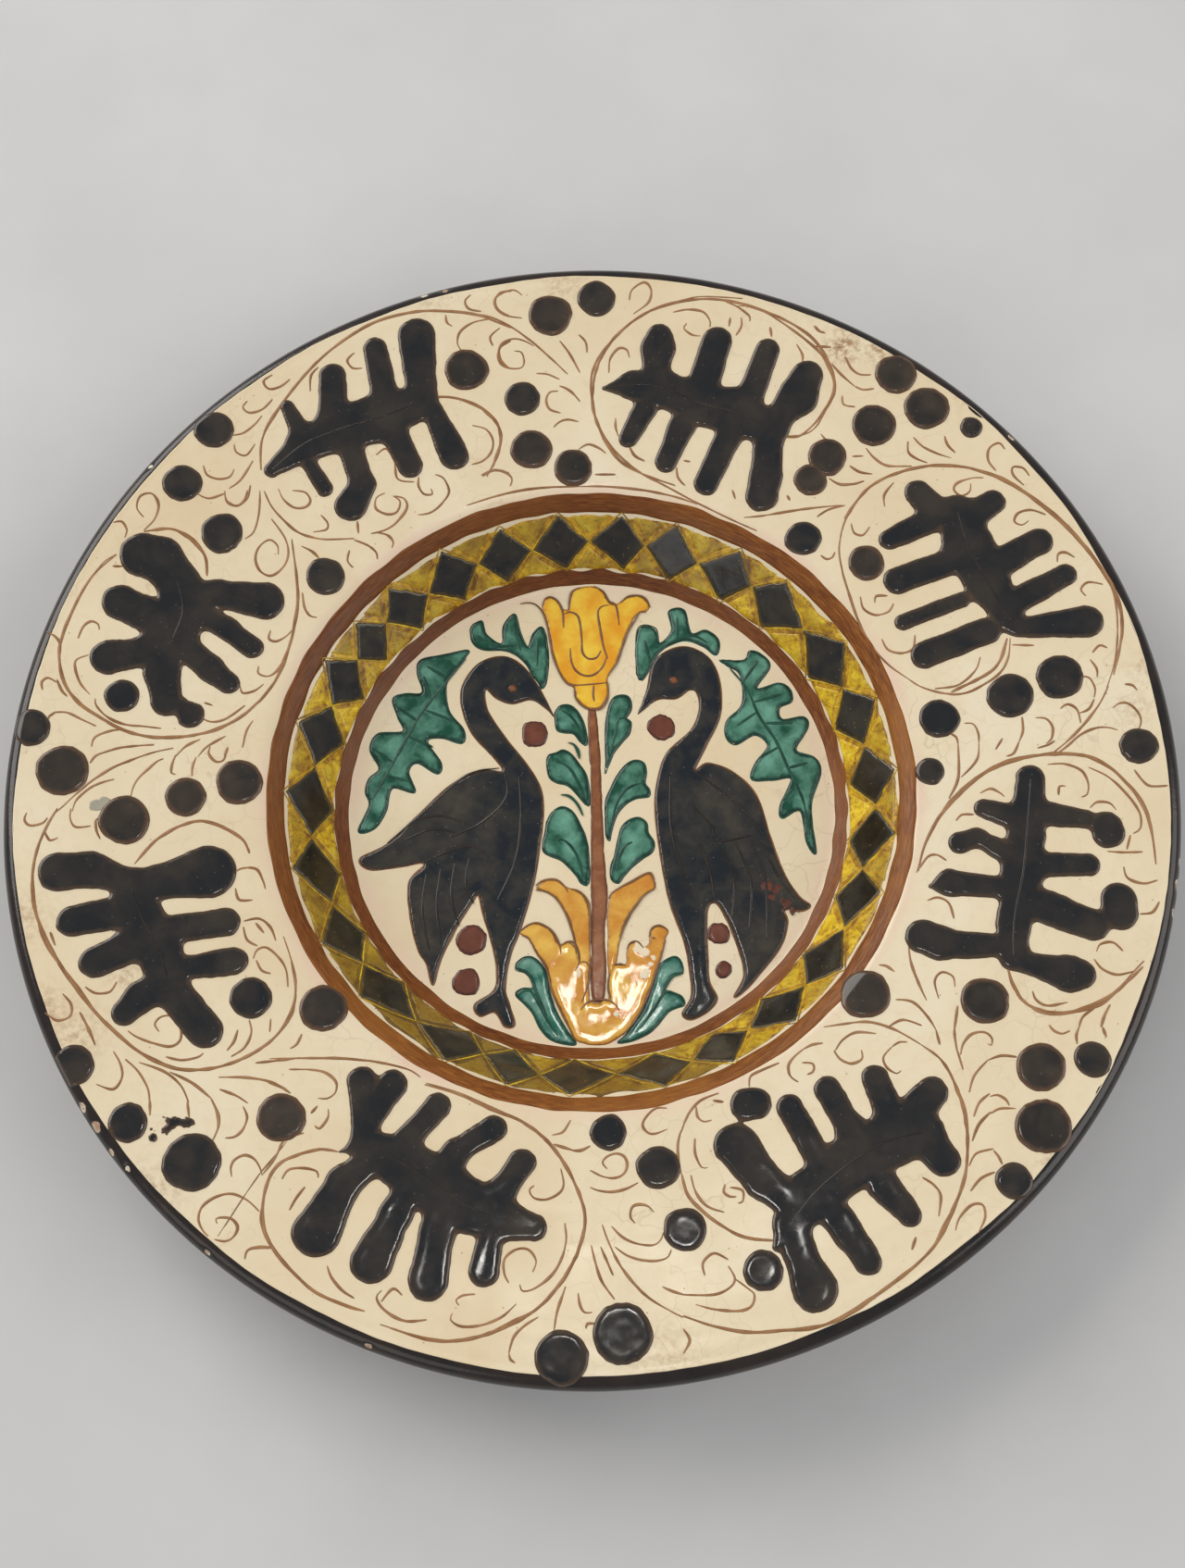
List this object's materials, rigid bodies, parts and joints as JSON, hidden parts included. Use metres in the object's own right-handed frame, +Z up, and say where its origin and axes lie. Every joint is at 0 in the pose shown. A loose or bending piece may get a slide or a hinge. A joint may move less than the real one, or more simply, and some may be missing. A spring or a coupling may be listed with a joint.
{
  "type": "hand painted ceramic plate",
  "caption": "Wide round ceramic charger with a sunken centre, sloping rim and rounded lip, painted with two birds, a tulip, a checker band, leaf sprays, dots and thin vines.",
  "frame": {"origin": "centre of the foot ring's resting face, on the plate's axis", "axes": "+Z up out of the painted face along the plate's axis; +Y towards the top of the tulip in the painted design; +X to the right of the design"},
  "size_m": [0.4, 0.4, 0.0493],
  "materials": {
    "red_clay": "bare, low-fired red earthenware, matt",
    "cream_slip": "warm cream slip under a clear glossy glaze with a faint crackle",
    "dark_glaze": "near-black lead-type glaze, reddish brown where thin, glossy",
    "red_brown": "chestnut iron brown brushed under gloss glaze",
    "mustard": "mottled mustard yellow, sponged olive, glossy",
    "black_enamel": "thick blue-black enamel, smoky brown where thin, very glossy",
    "yellow_enamel": "bright yellow enamel with brown brush outlines, glossy",
    "orange_enamel": "orange yellow enamel with brown brush outlines, glossy",
    "green_enamel": "viridian green enamel with dark green outlines, glossy",
    "ochre_line": "thin ochre brown brush line, glossy"
  },
  "bodies": {
    "root": {"foot_ring": "red_clay", "clay_well": "red_clay", "clay_rim": "red_clay", "cream_slip": "cream_slip", "back_glaze": "dark_glaze", "outer_ring": "red_brown", "inner_ring": "red_brown", "checker_ground": "mustard", "checker_diamonds": "black_enamel", "left_bird": "black_enamel", "right_bird": "black_enamel", "tulip_cup": "yellow_enamel", "flower_stem": "red_brown", "stem_leaves": "green_enamel", "base_petals": "orange_enamel", "base_leaves": "green_enamel", "left_spray": "green_enamel", "right_spray": "green_enamel", "red_dots": "red_brown", "rim_leaf_1": "black_enamel", "rim_leaf_2": "black_enamel", "rim_leaf_3": "black_enamel", "rim_leaf_4": "black_enamel", "rim_leaf_5": "black_enamel", "rim_leaf_6": "black_enamel", "rim_leaf_7": "black_enamel", "rim_leaf_8": "black_enamel", "rim_dots": "black_enamel", "scroll_vines": "ochre_line"}
  },
  "joints": []
}
